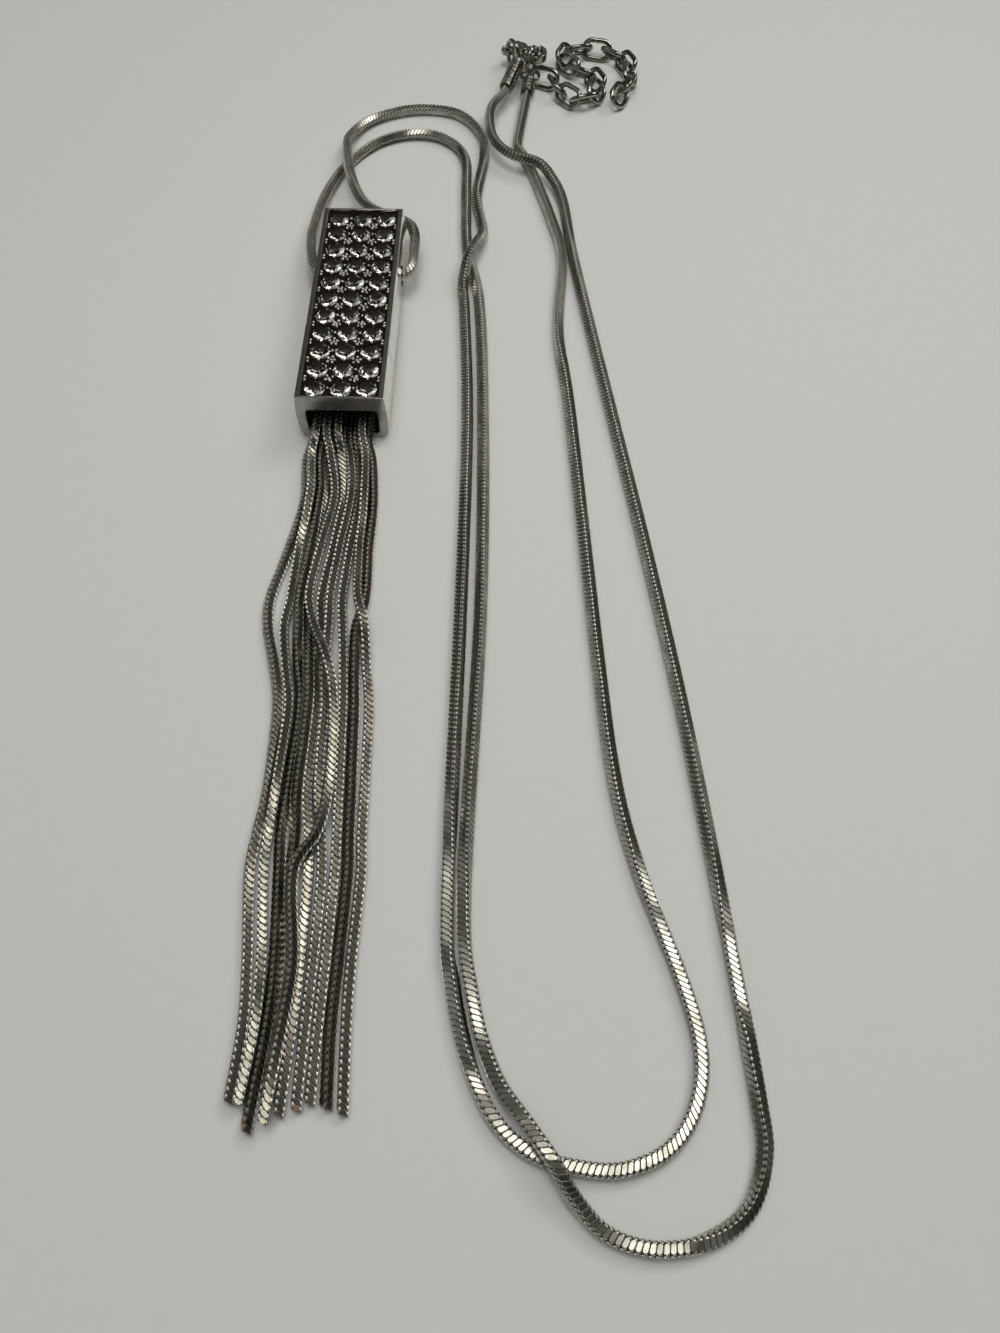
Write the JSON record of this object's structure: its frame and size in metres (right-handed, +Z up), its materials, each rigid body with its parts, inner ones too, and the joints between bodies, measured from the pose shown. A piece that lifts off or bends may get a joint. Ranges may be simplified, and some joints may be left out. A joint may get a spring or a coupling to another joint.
{
  "type": "tassel necklace",
  "caption": "Long square snake-chain necklace laid in two loops, with a stone-set sliding case, a ten-strand chain tassel, a lobster clasp and an extender",
  "frame": {"origin": "on the table, under the middle of the box round the whole laid-out necklace", "axes": "+X to the right, +Y along the necklace towards the clasp, +Z up from the table"},
  "size_m": [0.0637, 0.21, 0.0082],
  "materials": {
    "case_metal": "polished silver-toned plate, slightly darkened in the hollows",
    "snake_chain": "bright diamond-cut snake chain in a silver-toned plate",
    "tassel_chain": "fine bright snake chain in a silver-toned plate",
    "cap_metal": "turned and ribbed silver-toned caps",
    "link_metal": "polished round wire",
    "clasp_metal": "cast and polished silver-toned metal",
    "stone": "clear faceted glass stones with foiled backs"
  },
  "bodies": {
    "necklace": {"case": "case_metal", "tassel": "tassel_chain", "chain_a": "snake_chain", "chain_b": "snake_chain", "cap_a": "cap_metal", "cap_b": "cap_metal", "ring_a": "link_metal", "ring_b": "link_metal", "clasp_body": "clasp_metal", "extender": "link_metal", "stone_1_1": "stone", "stone_1_2": "stone", "stone_1_3": "stone", "stone_2_1": "stone", "stone_2_2": "stone", "stone_2_3": "stone", "stone_3_1": "stone", "stone_3_2": "stone", "stone_3_3": "stone", "stone_4_1": "stone", "stone_4_2": "stone", "stone_4_3": "stone", "stone_5_1": "stone", "stone_5_2": "stone", "stone_5_3": "stone", "stone_6_1": "stone", "stone_6_2": "stone", "stone_6_3": "stone", "stone_7_1": "stone", "stone_7_2": "stone", "stone_7_3": "stone", "stone_8_1": "stone", "stone_8_2": "stone", "stone_8_3": "stone", "stone_9_1": "stone", "stone_9_2": "stone", "stone_9_3": "stone", "stone_10_1": "stone", "stone_10_2": "stone", "stone_10_3": "stone", "stone_11_1": "stone", "stone_11_2": "stone", "stone_11_3": "stone"},
    "lever": {"clasp_lever": "clasp_metal"}
  },
  "joints": [
    {"name": "lever_hinge", "type": "hinge", "parent": "necklace", "child": "lever", "pos_m": [0.00396, 0.10057, 0.00265], "axis": [0, 0, -1], "range_deg": [0, 18], "stiffness_Nm_per_rad": 0.002}
  ]
}
